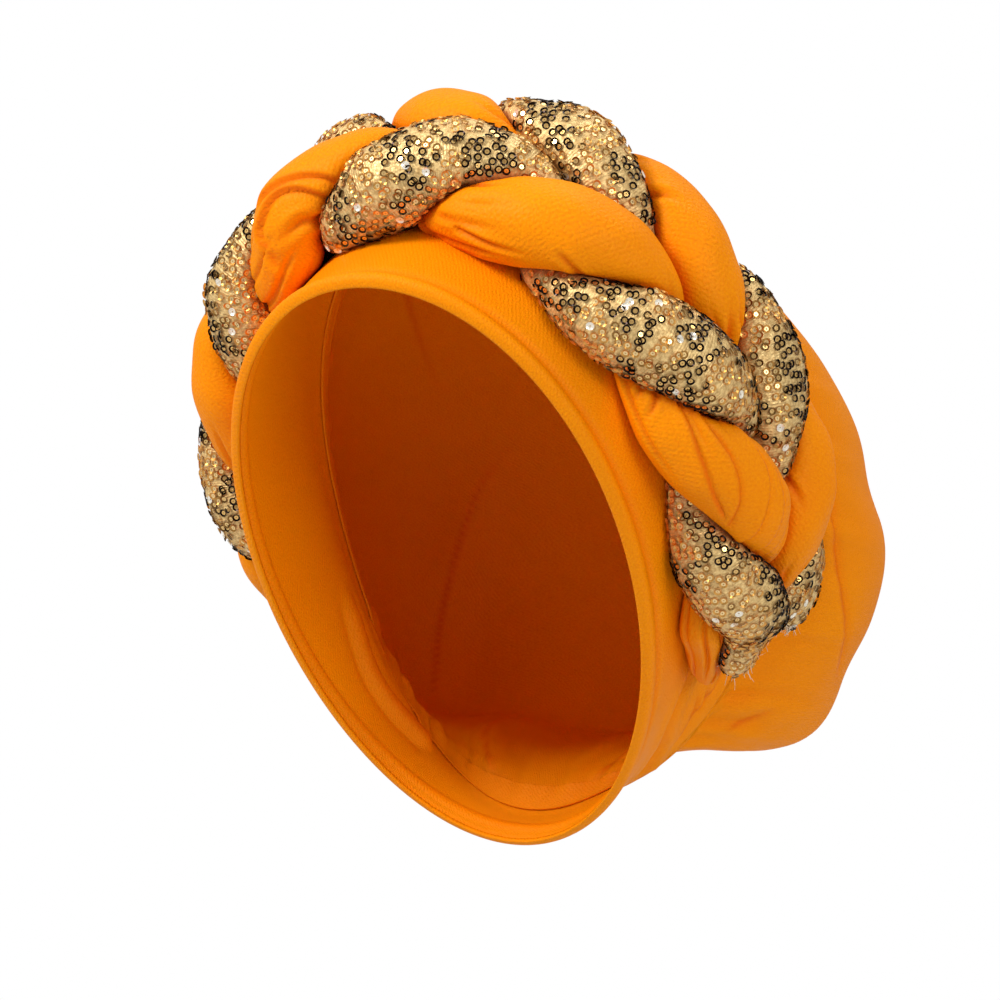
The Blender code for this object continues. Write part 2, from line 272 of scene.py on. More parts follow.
def fold_field(points, normals, path, taper):
    """Signed distance of each point from the line, and how strong the fold is beside it."""
    flat, up = points.reshape(-1, 3), normals.reshape(-1, 3)
    best = np.full(len(flat), 1e9)
    signed, strength = np.zeros(len(flat)), np.zeros(len(flat))
    count = len(path) - 1
    for number in range(count):
        run = path[number + 1] - path[number]
        share = np.clip((flat - path[number]) @ run / (run @ run), 0, 1)
        offset = flat - path[number] - share[:, None] * run
        distance = np.linalg.norm(offset, axis=1)
        closer = distance < best
        side = np.sign((np.cross(run, up) * offset).sum(axis=1))
        t = (number + share) / count
        best = np.where(closer, distance, best)
        signed = np.where(closer, distance * side, signed)
        strength = np.where(closer, smooth_step(t / taper[0]) * smooth_step((1 - t) / taper[1]), strength)
    return signed.reshape(points.shape[:2]), strength.reshape(points.shape[:2])


print("lines can now be drawn on cloth, with", POINTS_A_STEP, "points from one given place to the next")


# %% Creases and laps
def crease_lift(signed, depth, width):
    """A valley between two soft shoulders."""
    away = np.abs(signed) / width
    return depth * (0.4 * np.exp(-((away - 2.2) ** 2)) - np.exp(-(away**1.5)))


def lap_lift(signed, depth, width):
    """The edge of a layer: high on one side of the line, and fading back to the cloth further off."""
    raised = depth * smooth_step(signed / 0.9 + 0.5) * np.exp(-np.maximum(signed, 0) / (5 * width))
    return raised - 0.5 * depth * np.exp(-((signed + 0.5) ** 2) / width**2)


def apply_folds(points, painted_shade, folds, to_grid):
    """Moves a grid's points for every fold of a table, and notes painted shade where the cloth is deep in
    one.
    """
    for _, kind, depth, width, taper, *places in folds:
        normals = grid_normals(points)
        path = line_on_grid(points, [to_grid(*place) for place in places])
        signed, strength = fold_field(points, normals, path, taper)
        lift = (crease_lift if kind == "crease" else lap_lift)(signed, depth, width) * strength
        points += lift[..., None] * normals
        # painted shade along each fold, strongest on its line
        painted_shade += strength * np.exp(-((np.abs(signed) / min(width, 1.5)) ** 2)) * min(depth, 1.5) / 1.5
    return points, np.clip(painted_shade, 0, 1)


print("two kinds of fold: a crease and a lap")

# %% [markdown]
# ## The band
# The band is stretch satin, pulled tight from brow to nape. Its front edge is turned under twice, which makes
# a soft roll with a shallow groove behind it, and low on each side the cloth below the braid is drawn into a
# pleat. The wall is one closed tube of points: the inside from seam to hem, and back along the outside from
# hem to seam.

# %% Cloth with its broad folds, from a ring table
# Columns: name, angle from the top, drift towards the back, half width in degrees, height, where it starts
# and ends
CROWN_FOLDS = (
    ("top_gather", 22.0, 10.0, 9.0, 3.5, 0.07, 0.7),
    ("upper_gather", 50.0, 6.0, 8.0, 3.0, 0.07, 0.6),
    ("side_crease", 84.0, -6.0, 10.0, -5.0, 0.25, 0.85),
    ("low_gather", 112.0, 4.0, 8.0, 3.0, 0.07, 0.6),
    ("corner", 143.0, 0.0, 16.0, 17.0, 0.15, 1.0),
    ("underside_dent", 164.0, 0.0, 12.0, -5.0, 0.2, 0.8),
)
BAND_FOLDS = (("side_pleat", 128.0, -16.0, 26.0, -4.0, 0.35, 0.85),)


def cloth_rows(table, folds, places, sides):
    """The outer surface of a cloth shell, as a grid of points."""
    angles = np.linspace(-math.pi, math.pi, sides, endpoint=False)
    points = ring_points(blend_rows(table, places), angles)
    outward = unit(points - points.mean(axis=1, keepdims=True))
    share = (places / (len(table) - 1))[:, None]
    for _, angle, drift, half_width, height, start, end in folds:
        middle = np.radians(angle + drift * share)
        off = (np.abs(angles)[None, :] - middle) / math.radians(half_width)
        reach = np.clip((share - start) / (end - start), 0, 1)
        points += (height * np.exp(-(off**2)) * np.sin(math.pi * reach))[..., None] * outward
    return points


def closed_wall(outer, thickness, painted_shade):
    """Rows for the inside of the wall, then the outside, with the same row count for each."""
    inner = outer - grid_normals(outer) * thickness
    return np.concatenate([inner[::-1], outer]), np.concatenate([painted_shade[::-1], painted_shade])


print(len(BAND_FOLDS), "broad fold on each side of the band,", len(CROWN_FOLDS), "on each side of the crown")

# %% The band's cloth, with its rolled hem
BAND_SIDES = 360
BAND_THICKNESS = 2.0
ROLL_HEIGHT, ROLL_WIDTH = 1.2, 9.0
GROOVE_DEPTH, GROOVE_PLACE, GROOVE_WIDTH = 0.9, 10.0, 1.8

band_places = np.concatenate([np.linspace(0, 3, 26, endpoint=False), np.linspace(3, 7, 42)])
band_outer = cloth_rows(BAND_RINGS, BAND_FOLDS, band_places, BAND_SIDES)
row_steps = np.linalg.norm(np.diff(band_outer, axis=0), axis=2)
from_hem = np.concatenate([np.zeros((1, BAND_SIDES)), np.cumsum(row_steps, axis=0)])
roll = ROLL_HEIGHT * np.sin(math.pi * np.clip(from_hem / ROLL_WIDTH, 0, 1)) ** 0.7
groove = GROOVE_DEPTH * np.exp(-(((from_hem - GROOVE_PLACE) / GROOVE_WIDTH) ** 2))
band_outer += (roll - groove)[..., None] * grid_normals(band_outer)
# painted shade in the groove behind the hem roll
band_painted_shade = np.clip(groove * 0.5, 0, 1)
print(f"band: {from_hem[-1].max():.0f} mm wide at the brow, {from_hem[-1].min():.0f} mm at the nape")


# %% The band's pleats and its closed wall
def grid_finder(places, sides, turned):
    """A function from a place in a piece's table, and an angle in degrees, to a row and side of its grid."""
    return lambda place, angle: (
        np.interp(place, places, np.arange(len(places))), (angle + turned) / 360 * sides)


# Columns: name, kind, depth, width (mm), taper at start and end, then points as (place in the table, degrees
# from the top towards the wearer's left)
BAND_LINES = (
    ("left_pleat", "crease", 3.4, 3.0, (0.25, 0.1),
     (4.9, 112), (4.76, 120), (4.5, 128), (4.6, 136), (5.2, 144), (6.2, 152)),
    ("left_lap", "lap", 1.6, 3.0, (0.2, 0.2), (6.2, 118), (6.3, 126), (6.0, 134), (6.4, 142)),
    ("left_tuck", "crease", 0.9, 1.2, (0.3, 0.4), (5.8, 126), (6.1, 130), (6.4, 134)),
    ("left_short_tuck", "crease", 0.8, 1.1, (0.3, 0.4), (5.5, 128), (5.8, 132), (5.9, 135)),
    ("right_pleat", "crease", 3.4, 3.0, (0.25, 0.1),
     (4.9, -112), (4.7, -120), (4.5, -130), (4.8, -140), (5.6, -150)),
    ("right_lap", "lap", 1.6, 3.0, (0.2, 0.2), (6.2, -118), (6.3, -126), (6.0, -134), (6.4, -142)),
)
to_band = grid_finder(band_places, BAND_SIDES, 180)
band_outer, band_painted_shade = apply_folds(band_outer, band_painted_shade, BAND_LINES, to_band)
band_points, band_painted_shade = closed_wall(band_outer, BAND_THICKNESS, band_painted_shade)
band = grid_piece("band_cloth", band_points, cloth_lengths(closed(band_points)), band_painted_shade, False)
print(f"band cloth: {cloth_area(band_outer):.3f} square metres")

# %% [markdown]
# ## The crown
# The crown is a round of the same satin, gathered onto the rear edge of the band and left to bag behind. It
# gets its broad shape from the ring table, small gathers that die away from the seam, and a few long soft
# folds where its own weight pulls it down. Its wall runs from the middle of the back inside, out round the
# seam, and back to the middle of the back outside.

# %% The crown's cloth, from the seam to the middle of the back
CROWN_SIDES = 320
CROWN_THICKNESS = 1.6
SEAM_SET_BACK = 2.5
BACK_ROWS = 16
BACK_HOLE_SHARE = 0.02

crown_places = np.concatenate([[0.0], np.linspace(0.5, 7, 96)])
crown_outer = cloth_rows(CROWN_RINGS, CROWN_FOLDS, crown_places, CROWN_SIDES)
seam_angles = np.linspace(-math.pi, math.pi, CROWN_SIDES, endpoint=False)
seam_before, seam = ring_points(blend_rows(BAND_RINGS, np.array([6.0, 7.0])), seam_angles)
seam_ahead = unit(seam - seam_before)
seam_outward = unit(np.cross(np.roll(seam, -1, axis=0) - np.roll(seam, 1, axis=0), seam_ahead))
turn_in = np.maximum(-(unit(crown_outer[1] - seam) * seam_outward).sum(axis=1), 0)
crown_outer[0] = seam + seam_ahead * (0.5 + SEAM_SET_BACK * CROWN_THICKNESS * turn_in)[:, None]
shrink = np.linspace(1, BACK_HOLE_SHARE, BACK_ROWS + 1)[1:, None, None]
flat_back = CROWN_BACK + (crown_outer[-1] - CROWN_BACK) * shrink
flat_back[..., 1] = CROWN_BACK[1] + (crown_outer[-1, :, 1] - CROWN_BACK[1]) * shrink[..., 0] ** 2
crown_outer = np.concatenate([crown_outer, flat_back])
from_seam = lengths_to(crown_outer)
print(f"crown: {from_seam[-1]:.0f} mm from the seam to the middle of the back")

# %% Gathers that die away from the seam
# Columns: waves round the seam, phase, height in millimetres
GATHER_WAVES = ((46, 0.4, 0.7), (31, 2.1, 0.8), (73, 1.0, 0.35))
GATHER_REACH = 80
GATHER_FADE = 32
GATHER_HEIGHT = 1.7

gather = np.zeros(crown_outer.shape[:2])
for waves, phase, height in GATHER_WAVES:
    gather += height * np.sin(waves * seam_angles + phase + 2.0 * np.sin(5 * seam_angles + phase))[None, :]
swell = np.sin(math.pi * np.clip(from_seam / GATHER_REACH, 0, 1) ** 0.7) * np.exp(-from_seam / GATHER_FADE)
gather *= swell[:, None] * GATHER_HEIGHT
crown_outer += gather[..., None] * grid_normals(crown_outer)
# painted shade in the valleys of the gathers
crown_painted_shade = np.clip(-gather / 4, 0, 1)
print(f"gathers: up to {np.abs(gather).max():.1f} mm high")

# %% The crown's long folds and its wall
# Columns as for the band's lines
CROWN_LINES = (
    ("left_long_fold", "lap", 2.4, 2.4, (0.2, 0.2),
     (2.1, 66), (2.2, 80), (2.0, 91), (2.14, 101), (2.45, 110), (2.96, 120), (3.7, 130)),
    ("left_low_ridge", "crease", 1.4, 4.0, (0.3, 0.5), (1.7, 143), (2.0, 138), (2.3, 133)),
    ("top_left_drape", "crease", 3.4, 8.0, (0.35, 0.45), (1.3, 26), (2.7, 33), (4.2, 40), (5.6, 58)),
    ("top_right_drape", "crease", 3.0, 7.0, (0.35, 0.45), (1.3, -20), (2.8, -30), (4.4, -44), (5.8, -64)),
    ("top_middle_drape", "crease", 2.2, 6.0, (0.35, 0.5), (1.4, 4), (2.6, 5), (3.8, -2), (4.8, -6)),
    ("left_sag", "crease", 3.4, 8.0, (0.35, 0.4), (3.3, 152), (4.7, 140), (5.9, 112), (6.7, 66)),
    ("right_sag", "crease", 3.4, 8.0, (0.35, 0.4), (3.3, -150), (4.7, -138), (5.9, -108), (6.7, -60)),
    ("left_second_sag", "crease", 2.6, 6.0, (0.4, 0.4), (4.2, 104), (5.0, 96), (5.8, 80), (6.4, 50)),
    ("under_left_fold", "crease", 2.6, 5.0, (0.2, 0.45), (0.7, 166), (2.0, 161), (3.6, 160)),
    ("under_right_fold", "crease", 2.6, 5.0, (0.2, 0.45), (0.7, -170), (2.0, -164), (3.7, -166)),
    ("right_long_fold", "lap", 2.4, 2.4, (0.2, 0.2),
     (2.0, -72), (2.2, -84), (2.1, -95), (2.3, -106), (2.9, -119), (3.6, -129)),
)
to_crown = grid_finder(crown_places, CROWN_SIDES, 180)
crown_outer, crown_painted_shade = apply_folds(crown_outer, crown_painted_shade, CROWN_LINES, to_crown)
crown_points, crown_painted_shade = closed_wall(crown_outer, CROWN_THICKNESS, crown_painted_shade)
from_back = lengths_to(crown_outer[::-1]) + 1
crown_lengths = round_lengths(np.concatenate([from_back, from_back[::-1]]), CROWN_SIDES)
crown = grid_piece("crown_cloth", crown_points, crown_lengths, crown_painted_shade, True)
print(f"crown cloth: {cloth_area(crown_outer):.3f} square metres")

# %% [markdown]
# ## The braid
# Each strand is a tube of cloth stuffed with loose wadding. It winds forward and back and up and down along
# the seat of the braid, and where two strands meet they press each other flat. So a strand starts as its
# centre line, and each spoke from that line runs out until it reaches the strand's own radius, the half way
# to a neighbour, or the cap. A soft minimum of those three rounds the shoulder between the free cloth and the
# pressed cloth.

# %% Measures of the braid, in millimetres
BRAID_PERIOD = 109.0
BRAID_HEIGHT = 15.0
LEAST_HEIGHT = 8.0
STRAND_SWING = 7.0
STRAND_RISE = 7.5
STRAND_RADIUS = 17.9
STRAND_GAP = 0.3
WALL_GAP = 0.5
SEWN_DOWN_LENGTH = 45.0
SEWN_DOWN_SHARE = 0.6
END_NARROWING_LENGTH = 75.0
END_PRESSING_LENGTH = 34.0
LINE_STEP = 2.2
# Columns: name, middle of its swing, mean height, where its turns start, quarter turns, half length, how far
# its ends turn forward, then for its ends: length of the rounding, share of the radius left, share that
# stands above the middle
STRANDS = (
    ("orange_strand_front", -11.5, 15.0, 11.0, -1.0, 282.0, -13.0, 30.0, 0.42, 0.2),
    ("orange_strand_rear", 16.0, 16.5, 21.0, 2.0, 246.0, 0.0, 14.0, 0.8, 0.6),
    ("gold_strand_front", -11.5, 15.0, 11.0, 1.0, 257.0, -6.0, 7.0, 0.88, 0.4),
    ("gold_strand_rear", 16.0, 16.5, 21.0, 0.0, 252.0, 0.0, 7.0, 0.9, 0.4),
)
# How the braid departs from an even twist. Columns: length from the top towards the wearer's left, then for
# the front and the rear strands: how far their turns are moved on, how far they are moved forward, height
# added
BRAID_DRIFT = (
    (-290.0, 35.0, -20.0, 0.0, 0.0, -2.0, -2.0),
    (-235.0, -20.0, -20.0, 0.0, 0.0, -3.0, -4.0),
    (-140.0, -20.0, -24.0, 0.0, 0.0, -3.0, -6.0),
    (-75.0, -6.0, -20.0, 0.0, 0.0, -4.0, -7.0),
    (-50.0, 0.0, -18.0, 0.0, 0.0, -1.5, -5.0),
    (15.0, 0.0, 2.0, 0.0, 0.0, 0.0, 0.0),
    (60.0, 0.0, 7.0, 9.0, 0.0, 0.0, 3.0),
    (120.0, 0.0, 11.0, 12.0, 2.0, 0.0, 1.0),
    (235.0, 0.0, 12.0, 12.0, 4.0, 0.0, 0.0),
    (290.0, -55.0, 12.0, 12.0, 4.0, 0.0, 0.0),
)
print("strands:", ", ".join(row[0] for row in STRANDS))

# %% The braid's seat on the band
# The seat is measured in this many steps to each side of the top, as far as this angle in radians
SEAT_STEPS = 240
SEAT_ANGLE = 2.4


def braid_axis(arcs):
    """The braid's seat, and the rearward and outward directions there, at lengths from the top."""
    angles = np.linspace(-SEAT_ANGLE, SEAT_ANGLE, 2 * SEAT_STEPS + 1)
    ahead, seat, behind = ring_points(blend_rows(BAND_RINGS, np.array([4.0, 5.0, 7.0])), angles)
    tangent = np.gradient(seat, axis=0)
    outward = unit(np.cross(tangent, behind - ahead))
    outward *= np.sign(outward[SEAT_STEPS, 2])
    lifted = seat + outward * BRAID_HEIGHT
    length = lengths_to(lifted)
    length -= length[SEAT_STEPS]
    rearward = unit(np.cross(outward, tangent))
    rearward *= np.sign(rearward[SEAT_STEPS, 1])
    return [
        np.stack([np.interp(arcs, length, column) for column in vectors.T], axis=1)
        for vectors in (seat, rearward, outward)
    ]


def cloth_tree(*grids):
    """A search tree of grids of points, in millimetres."""
    points, faces = [], []
    for grid in grids:
        corner = len(points) + np.arange(grid.shape[0] * grid.shape[1]).reshape(grid.shape[:2])
        beside = np.roll(corner, -1, axis=1)
        faces += np.stack([corner[:-1], beside[:-1], beside[1:], corner[1:]], axis=-1).reshape(-1, 4).tolist()
        points += grid.reshape(-1, 3).tolist()
    return BVHTree.FromPolygons(points, faces)


ground = cloth_tree(band_outer, crown_outer[:-BACK_ROWS])
print(f"the braid's seat starts {braid_axis(np.array([0.0]))[0][0, 1]:.0f} mm behind the origin")


# %% Centre lines of the strands
def even_out(rows, rounds):
    """Moves each row but the first and the last towards the rows beside it."""
    for _ in range(rounds):
        rows[1:-1] = (rows[:-2] + 2 * rows[1:-1] + rows[2:]) / 4


def strand_line(offset, mean_height, start, quarters, half_length, ends_forward, end_share, ground):
    """Centre line of a strand, kept above the cap, with the outward direction and the radius along it."""
    arcs = np.linspace(-half_length, half_length, round(2 * half_length / LINE_STEP))
    seat, rearward, outward = braid_axis(arcs)
    at, *columns = zip(*BRAID_DRIFT)
    own_columns = columns[0::2] if offset < 0 else columns[1::2]
    moved_on, forward, lift = (np.interp(arcs, at, column) for column in own_columns)
    turn = 2 * math.pi * (arcs + moved_on - start) / BRAID_PERIOD + quarters * math.pi / 2
    from_end = half_length - np.abs(arcs)
    to_end = np.clip(from_end / SEWN_DOWN_LENGTH, 0, 1)
    loose = SEWN_DOWN_SHARE + (1 - SEWN_DOWN_SHARE) * np.sqrt(to_end)
    across = (offset - forward + math.copysign(STRAND_SWING, offset) * np.cos(turn)) * loose
    across -= ends_forward * (1 - to_end)
    height = (mean_height + lift + STRAND_RISE * np.sin(turn)) * loose
    line = seat + across[:, None] * rearward + height[:, None] * outward
    for number, centre in enumerate(line):
        spot, normal, _, _ = ground.find_nearest(Vector(centre))
        above = (Vector(centre) - spot).dot(normal)
        least = LEAST_HEIGHT * loose[number]
        if above < least:
            line[number] = centre + (least - above) * np.array(normal)
    even_out(line, 3)
    wide = np.clip(from_end / END_NARROWING_LENGTH, 0, 1)
    return arcs, line, outward, STRAND_RADIUS * (end_share + (1 - end_share) * wide)


lines = {name: strand_line(*row, end_share, ground) for name, *row, _, end_share, _ in STRANDS}
for name, (arcs, line, _, _) in lines.items():
    print(f"{name}: {lengths_to(line)[-1]:.0f} mm along its winding line")

# %% Spokes of a strand, and the room that each has
SPOKES = 48
FARTHEST = 60.0


def spokes_of(line, outward, sides):
    """Directions round a line, from outwards (0) towards the hat's front, as seen at the top."""
    ahead = unit(np.gradient(line, axis=0))
    front = unit(np.cross(ahead, outward))
    up = np.cross(front, ahead)
    angles = np.linspace(0, 2 * math.pi, sides, endpoint=False)[None, :, None]
    return np.cos(angles) * up[:, None, :] + np.sin(angles) * front[:, None, :]


def room_beside(line, radii, spokes, other, other_radii):
    """How far spokes run to another strand: half way to its line, or less if that strand is thicker."""
    away = other[None] - line[:, None]
    square = (away**2).sum(axis=2)
    gap = STRAND_GAP + other_radii[None] - radii[:, None]
    toward = np.einsum("nsc,nmc->nsm", spokes, away) + gap[:, None, :]
    half_way = (square - gap**2)[:, None, :] / (2 * np.maximum(toward, 0.5))
    return np.where(toward > 0.5, half_way, FARTHEST).min(axis=2)


def room_above(line, spokes, ground):
    """How far spokes run before they come within a gap of the cap."""
    room = np.full(spokes.shape[:2], FARTHEST)
    for row, centre in enumerate(line):
        for side, spoke in enumerate(spokes[row]):
            _, normal, _, distance = ground.ray_cast(Vector(centre), Vector(spoke), FARTHEST)
            if normal is not None:
                room[row, side] = distance - WALL_GAP / max(abs(normal.dot(Vector(spoke))), 0.25)
    return room


print(SPOKES, "spokes on each ring of a strand")

# %% A strand's reach: soft where it is free, flat where it is pressed
SOFTNESS = 1.1


def soft_least(limits):
    """A smooth minimum of several arrays, never above the true one."""
    least = np.min(limits, axis=0)
    return least - SOFTNESS * np.log(sum(np.exp((least - limit) / SOFTNESS) for limit in limits))


def blur(field, rounds):
    """A field on a grid that wraps round its sides, evened out with its neighbours."""
    for _ in range(rounds):
        field = (np.roll(field, 1, 1) + 2 * field + np.roll(field, -1, 1)) / 4
        even_out(field, 1)
    return field


def finer(field, steps, wraps):
    """A field with steps times as many rows, on a smooth curve through the old ones."""
    count = len(field)
    at = np.arange(count * steps) / steps if wraps else np.linspace(0, count - 1, (count - 1) * steps + 1)
    start = at.astype(int) if wraps else np.minimum(at.astype(int), count - 2)
    part = (at - start).reshape(-1, *[1] * (field.ndim - 1))
    pick = [(start + k) % count if wraps else np.clip(start + k, 0, count - 1) for k in (-1, 0, 1, 2)]
    a, b, c, d = (field[i] for i in pick)
    return b + 0.5 * part * (c - a + part * (2 * a - 5 * b + 4 * c - d + part * (3 * (b - c) + d - a)))


strands = {}
for name, *_, end_length, _, lid_share in STRANDS:
    arcs, line, outward, radii = lines[name]
    spokes = spokes_of(line, outward, SPOKES)
    run = lengths_to(line)
    from_end = np.minimum(run, run[-1] - run)
    rooms = [room_beside(line, radii, spokes, *lines[other][1::2]) for other in lines if other != name]
    rooms.append(room_above(line, spokes, ground))
    pressed = np.clip(from_end / END_PRESSING_LENGTH, 0, 1)
    lid = STRAND_RADIUS * (lid_share + (1 - lid_share) * pressed)[:, None]
    under_lid = lid / np.maximum(np.einsum("nsc,nc->ns", spokes, outward), 0.25)
    own = np.minimum(radii[:, None], under_lid)
    hard = np.minimum(np.min(rooms, axis=0), own)
    soft = soft_least([*rooms, under_lid, np.broadcast_to(radii[:, None], hard.shape)])
    reach = np.minimum(blur(soft, 3), hard)
    strands[name] = {
        "arcs": arcs, "line": line, "outward": outward, "reach": np.maximum(reach, 2.0),
        "free": np.min(rooms, axis=0) - reach, "from_end": from_end, "end_length": end_length,
    }
    print(f"{name}: {len(line)} rings, {100 * (strands[name]['free'] > 1).mean():.0f}% of its cloth is free")

# %% [markdown]
# ## The strands' cloth
# The braid's cloth is fuller than the wadding, so it puckers where a strand dives under its neighbour, and
# long pleats run out from there. The pleats that show best are drawn one by one from a table. The rest come
# from one rule, so that every side of the braid is as full.

# %% The strands' drawn pleats
# Columns: name, kind, depth, width (mm), taper at start and end, then points as (length along the braid,
# degrees round the strand from its outer side towards the front)
STRAND_FOLDS = {
    "orange_strand_front": (
        ("side_overlap", "lap", 2.2, 1.5, (0.08, 0.1),
         (-37, 98), (-41, 90), (-48, 60), (-53, 47), (-58, 50), (-61, 53), (-63, 68), (-62, 82)),
        ("side_second_overlap", "lap", 1.8, 1.4, (0.08, 0.25),
         (-34, 80), (-38, 68), (-45, 52), (-51, 40), (-55, 32), (-60, 30)),
        ("side_pinch", "crease", 2.0, 2.0, (0.1, 0.5),
         (-46, 128), (-50, 112), (-53, 97), (-58, 90), (-63, 80)),
        ("side_low_pinch", "crease", 1.2, 2.2, (0.1, 0.6), (-64, 78), (-66, 92), (-66, 106)),
        ("brow_overlap", "lap", 2.0, 1.6, (0.15, 0.2), (2, 96), (10, 112), (20, 119), (29, 122), (42, 119)),
        ("brow_crease", "crease", 1.6, 1.2, (0.15, 0.4), (26, 92), (32, 98), (39, 104), (52, 100)),
        ("brow_second_crease", "crease", 1.0, 1.4, (0.2, 0.5), (18, 84), (30, 84), (46, 78)),
        ("brow_far_crease", "crease", 1.3, 1.4, (0.4, 0.15), (56, 78), (60, 90), (66, 104)),
        ("long_pleat_a", "lap", 1.5, 0.9, (0.06, 0.1),
         (115, 64), (120, 56), (136, 47), (149, 58), (160, 73), (170, 80)),
        ("long_pleat_b", "lap", 1.9, 0.9, (0.06, 0.08),
         (116, 30), (121, 24), (139, 28), (154, 27), (163, 44), (169, 69), (173, 84)),
        ("long_pleat_c", "lap", 2.0, 0.9, (0.1, 0.08),
         (138, -14), (150, -18), (160, -14), (167, 0), (173, 30), (179, 56), (182, 82)),
        ("long_pleat_d", "lap", 1.7, 0.9, (0.2, 0.12),
         (160, -28), (169, -19), (176, 0), (183, 26), (190, 50), (193, 78)),
        ("long_pleat_e", "lap", 1.4, 0.9, (0.2, 0.2), (172, -30), (180, -16), (188, 8), (196, 34), (203, 60)),
        ("long_pleat_f", "crease", 1.2, 0.9, (0.2, 0.3), (186, -20), (195, 0), (205, 24), (210, 50)),
        ("ear_pinch", "crease", 1.8, 1.1, (0.06, 0.5), (118, 66), (124, 66), (129, 79), (131, 98)),
        ("ear_second_pinch", "crease", 1.2, 1.0, (0.1, 0.6), (116, 76), (122, 86), (124, 104)),
    ),
    "orange_strand_rear": (
        ("top_pinch", "crease", 2.3, 1.6, (0.1, 0.6), (121, 38), (116, 29), (107, 18)),
        ("top_second_pinch", "crease", 1.1, 1.0, (0.1, 0.6), (121, 20), (115, 10), (106, 2)),
        ("top_front_pinch", "crease", 2.3, 1.6, (0.1, 0.5), (70, 66), (74, 48), (80, 30), (87, 16)),
        ("edge_overlap", "lap", 1.3, 1.4, (0.3, 0.3), (172, -24), (184, -28), (194, -18), (203, -16)),
        ("low_pinch", "crease", 1.6, 1.2, (0.1, 0.6), (190, 72), (195, 58), (202, 42)),
    ),
    "gold_strand_front": (
        ("top_dent", "crease", 1.5, 3.0, (0.3, 0.3), (-52, 18), (-42, 30), (-30, 20)),
        ("end_dent", "crease", 1.2, 4.0, (0.3, 0.3), (222, 10), (234, 20), (246, 5)),
    ),
    "gold_strand_rear": (),
}
print(sum(len(folds) for folds in STRAND_FOLDS.values()), "pleats drawn on the strands")

# %% Pleats by rule
PLEATS_AROUND = 11
DIVE_ROOM = 7.0
PLEAT_RUN = 31


def dive_pleats(free, seed):
    """How deep lengthwise pleats sink near the places where the strand's outer side is covered."""
    rows, sides = free.shape
    eighth = sides // 8
    outer_room = np.concatenate([free[:, :eighth], free[:, -eighth:]], axis=1).mean(axis=1)
    window = np.hanning(PLEAT_RUN)
    near_dive = np.convolve(1 - smooth_step(outer_room / DIVE_ROOM), window / window.sum(), mode="same")
    near_dive = smooth_step(near_dive * 1.6)[:, None]
    angles = np.linspace(0, 2 * math.pi, sides, endpoint=False)
    wander = np.array([noise.noise(Vector((row * 0.02, seed, 0.0))) for row in range(rows)])[:, None]
    spots = np.stack([2.2 * np.cos(angles) + seed, 2.2 * np.sin(angles)], axis=1)
    strength = np.array([
        [noise.noise(Vector((*spot, row * 0.016))) for spot in spots] for row in range(rows)])
    valleys = np.maximum(np.sin(PLEATS_AROUND * (angles[None] + 0.9 * wander)), 0) ** 2.5
    return near_dive * valleys * np.clip(0.55 + 1.5 * strength, 0, 1.2)


print(PLEATS_AROUND, "pleats round a strand by rule, where it dives under its neighbour")

# %% The strands' surfaces
LUMP_SCALE = 0.055
LUMP_RADIUS = 17
LEAST_REACH = 0.4
# Columns: how many times finer the cloth is along and around, height of its lumps, depth of its pleats (mm)
CLOTH_KINDS = {"orange": (2, 3, 1.2, 2.3), "gold": (2, 1, 2.0, 0.8)}


def strand_surface(strand, along, around):
    """A strand's centre line, spokes and reach on a fine grid, and the room left past each point."""
    line, outward, reach, free = (
        finer(strand[key], along, False) for key in ("line", "outward", "reach", "free"))
    reach, free = (finer(field.T, around, True).T for field in (reach, free))
    spokes = spokes_of(line, unit(outward), SPOKES * around)
    from_end = finer(strand["from_end"], along, False)
    end = np.sqrt(1 - (1 - np.clip((from_end + 1.0) / strand["end_length"], 0, 1)) ** 2)[:, None]
    return line, spokes, np.maximum(reach * end, LEAST_REACH), free


for seed, (name, strand) in enumerate(strands.items()):
    along, around, lump_height, pleat_depth = CLOTH_KINDS[name.split("_")[0]]
    line, spokes, reach, free = strand_surface(strand, along, around)
    skin = line[:, None] + spokes * LUMP_RADIUS
    lumps = np.array([[noise.noise(Vector(point) * LUMP_SCALE) for point in row] for row in skin])
    room = smooth_step((free - 0.3) / 3.0)
    pleats = dive_pleats(free, 3.0 + seed)
    reach = reach + room * (lumps * lump_height - pleats * pleat_depth)
    points = line[:, None] + reach[..., None] * spokes
    # painted shade where the strand presses on its neighbours, and in its pleats
    painted_shade = np.clip(1 - smooth_step(free / 5.0) + 0.55 * pleats, 0, 1)
    to_strand = grid_finder(finer(strand["arcs"], along, False), points.shape[1], 0)
    points, painted_shade = apply_folds(points, painted_shade, STRAND_FOLDS[name], to_strand)
    strand["points"], strand["room"] = points, free
    strand["piece"] = grid_piece(name + "_cloth", points, cloth_lengths(points), painted_shade, True)

# %% [markdown]
# ## The seam inside
# Where the crown is sewn to the band, the real hat has a seam allowance that is turned flat and bound with
# the same satin. It hides the join when the hat is seen from the front, so it is made here as a flat ring of
# tape.

# %% Bound seam
TAPE_THICKNESS = 0.9
TAPE_CLEARANCE = 0.25


def ring_at(rows, normals, number, wall, sides):
    """One row of a cloth's inner side, as a ring with the asked number of points."""
    ring = rows[number] - normals[number] * (wall + TAPE_CLEARANCE)
    at = np.arange(sides) * len(ring) / sides
    low = at.astype(int)
    part = (at - low)[:, None]
    return ring[low] * (1 - part) + ring[(low + 1) % len(ring)] * part


